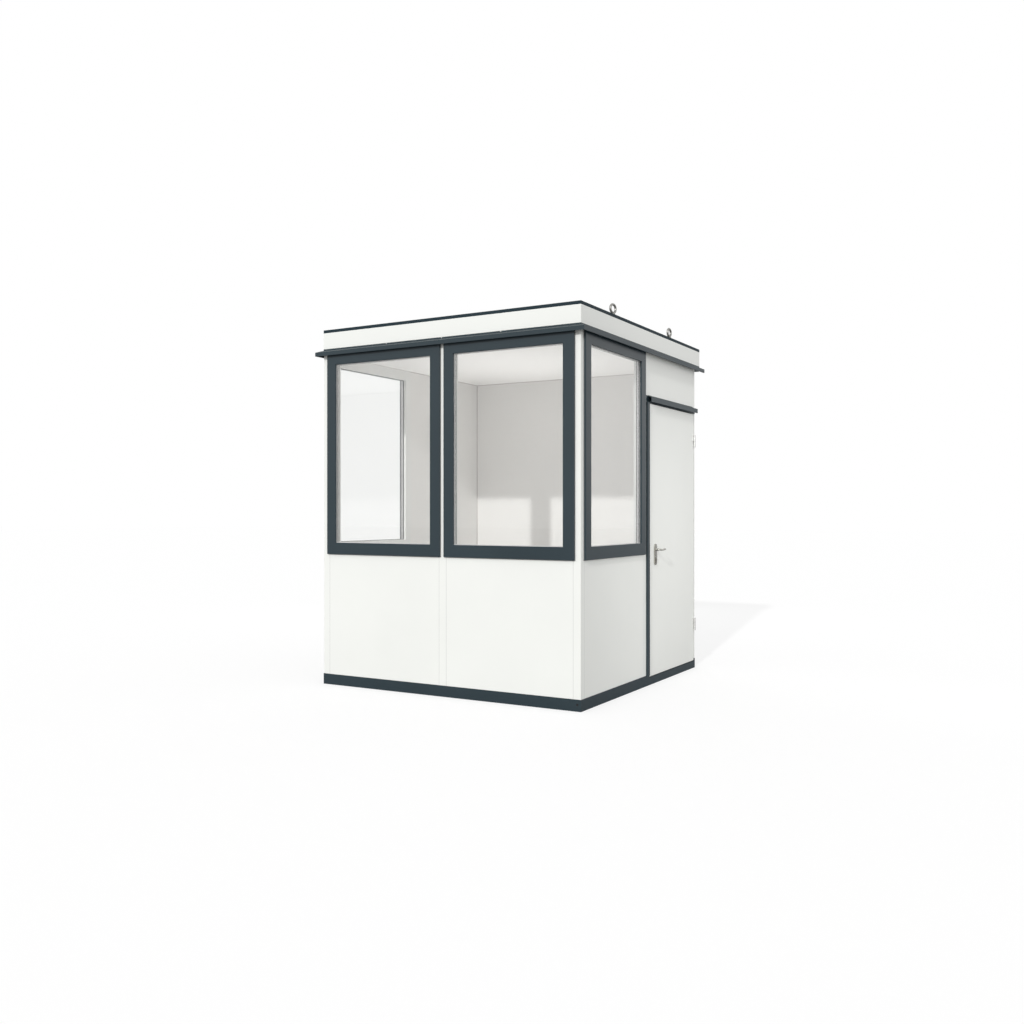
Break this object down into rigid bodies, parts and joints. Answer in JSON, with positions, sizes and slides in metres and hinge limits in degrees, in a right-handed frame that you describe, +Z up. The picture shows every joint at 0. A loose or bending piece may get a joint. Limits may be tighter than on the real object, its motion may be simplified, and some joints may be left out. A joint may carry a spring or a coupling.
{
  "type": "security guard booth",
  "caption": "Square flat-roofed guard booth with white panel walls, dark plinth and roof trims, framed windows round the front, and a side door with lever handle.",
  "frame": {"origin": "centre of the base on the ground, on the axis of the square walls", "axes": "+X towards the door side, -Y towards the front with two windows, +Z up"},
  "size_m": [2.1345, 2.195, 2.614],
  "materials": {
    "white_panel": "satin",
    "dark_metal": "satin",
    "dark_frame": "satin",
    "glass": "polished",
    "white_bead": "satin",
    "floor": "matte",
    "roof": "matte",
    "hinge_steel": "zinc plated",
    "handle_steel": "brushed",
    "lock_metal": "nickelled",
    "eye_steel": "zinc plated"
  },
  "bodies": {
    "booth": {"corner_posts": "white_panel", "hinge_post": "white_panel", "mid_posts": "white_panel", "front_panels": "white_panel", "right_panel": "white_panel", "left_panels": "white_panel", "back_panels": "white_panel", "over_door_panel": "white_panel", "ceiling": "white_panel", "fascia_front": "white_panel", "fascia_right": "white_panel", "fascia_back": "white_panel", "fascia_left": "white_panel", "base_front": "dark_metal", "base_right": "dark_metal", "base_back": "dark_metal", "base_left": "dark_metal", "edge_cap_front": "dark_metal", "edge_cap_right": "dark_metal", "edge_cap_back": "dark_metal", "edge_cap_left": "dark_metal", "rear_soffit": "dark_metal", "drip_trim_front": "dark_metal", "drip_trim_right": "dark_metal", "drip_trim_left": "dark_metal", "door_jamb": "dark_metal", "door_head": "dark_metal", "door_rail": "dark_metal", "window_frame_front_left": "dark_frame", "window_frame_front_right": "dark_frame", "window_frame_right": "dark_frame", "window_frame_left": "dark_frame", "window_glass": "glass", "window_beads": "white_bead", "floor": "floor", "roof_deck": "roof", "hinge_post_halves": "hinge_steel", "lifting_eyes": "eye_steel"},
    "door": {"door_leaf": "white_panel", "hinge_leaf_halves": "hinge_steel", "handle_plates": "handle_steel", "lock_cylinder": "lock_metal"},
    "lever": {"levers": "handle_steel"}
  },
  "joints": [
    {"name": "door_swing", "type": "hinge", "parent": "booth", "child": "door", "pos_m": [1.028, 1.0035, 1.0655], "axis": [0, 0, 1], "range_deg": [0, 120]},
    {"name": "lever_turn", "type": "hinge", "parent": "door", "child": "lever", "pos_m": [1.0025, 0.189, 0.958], "axis": [-1, 0, 0], "range_deg": [0, 40], "stiffness_Nm_per_rad": 1.5, "springref_deg": -45.84}
  ]
}
